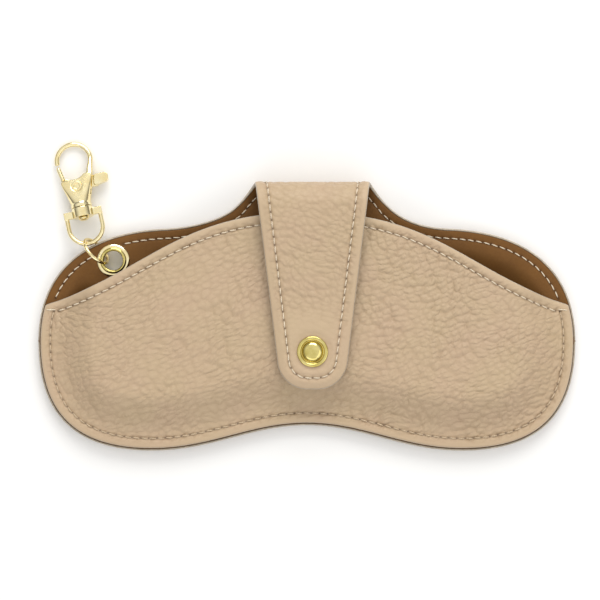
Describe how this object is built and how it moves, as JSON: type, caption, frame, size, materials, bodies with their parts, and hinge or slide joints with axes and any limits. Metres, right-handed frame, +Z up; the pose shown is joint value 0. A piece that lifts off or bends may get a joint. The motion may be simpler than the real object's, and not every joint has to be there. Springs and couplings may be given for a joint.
{
  "type": "soft pouch glasses case",
  "caption": "Soft leather pouch for glasses with two rounded lobes, a tapered flap closed by a snap, and a swivel hook linked to an eyelet at one end.",
  "frame": {"origin": "middle of the flat part of the back panel, where the case rests on a table", "axes": "+X along the case, +Y towards the fold of the flap, +Z up through the case's thickness"},
  "size_m": [0.18, 0.1037, 0.0191],
  "materials": {
    "leather": "pebbled, satin",
    "lining": "smooth, matte",
    "thread": "twisted polyester, matte",
    "gold": "polished pale gold plating",
    "steel": "plated, bright"
  },
  "bodies": {
    "case": {"back_leather": "leather", "back_lining": "lining", "front_leather": "leather", "front_lining": "lining", "seam_thread": "thread", "mouth_thread": "thread", "rim_thread": "thread", "bar_tacks": "thread", "snap_stud": "steel", "snap_post": "steel", "eyelet": "gold", "eyelet_washer": "gold"},
    "fold": {"fold_leather": "leather", "fold_lining": "lining", "fold_thread": "thread"},
    "flap": {"flap_leather": "leather", "flap_lining": "lining", "flap_thread": "thread", "snap_cap": "gold", "snap_socket": "steel", "snap_spring": "steel"},
    "ring": {"link_ring": "gold"},
    "bail": {"swivel_bail": "gold"},
    "hook": {"swivel_post": "gold", "hook_body": "gold", "gate_pin": "gold", "gate_spring": "steel"},
    "gate": {"gate_lever": "gold"}
  },
  "joints": [
    {"name": "flap_fold_lower", "type": "hinge", "parent": "case", "child": "fold", "pos_m": [0, 0.0426, 0.00525], "axis": [-1, 0, 0], "range_deg": [0, 90]},
    {"name": "flap_fold_upper", "type": "hinge", "parent": "fold", "child": "flap", "pos_m": [0, 0.0426, 0.01625], "axis": [-1, 0, 0], "range_deg": [0, 90]},
    {"name": "ring_spin", "type": "hinge", "parent": "case", "child": "ring", "pos_m": [-0.07043, 0.02203, 0.00549], "axis": [0.7016, 0.6251, 0.342], "range_deg": [0, 95]},
    {"name": "bail_swing", "type": "hinge", "parent": "ring", "child": "bail", "pos_m": [-0.07382, 0.02584, 0.00549], "axis": [-0.0262, 0.119, 0.9925], "range_deg": [-15, 50]},
    {"name": "hook_swivel", "type": "hinge", "parent": "bail", "child": "hook", "pos_m": [-0.07496, 0.03472, 0.00422], "axis": [-0.2131, 0.9694, -0.1219], "continuous": true},
    {"name": "gate_swing", "type": "hinge", "parent": "hook", "child": "gate", "pos_m": [-0.0769, 0.04354, 0.00312], "axis": [0.0262, -0.119, -0.9925], "range_deg": [0, 25], "stiffness_Nm_per_rad": 0.02, "springref_deg": -17.19}
  ],
  "couplings": [
    {"joint": "flap_fold_upper", "follows": "flap_fold_lower", "ratio": 1}
  ]
}
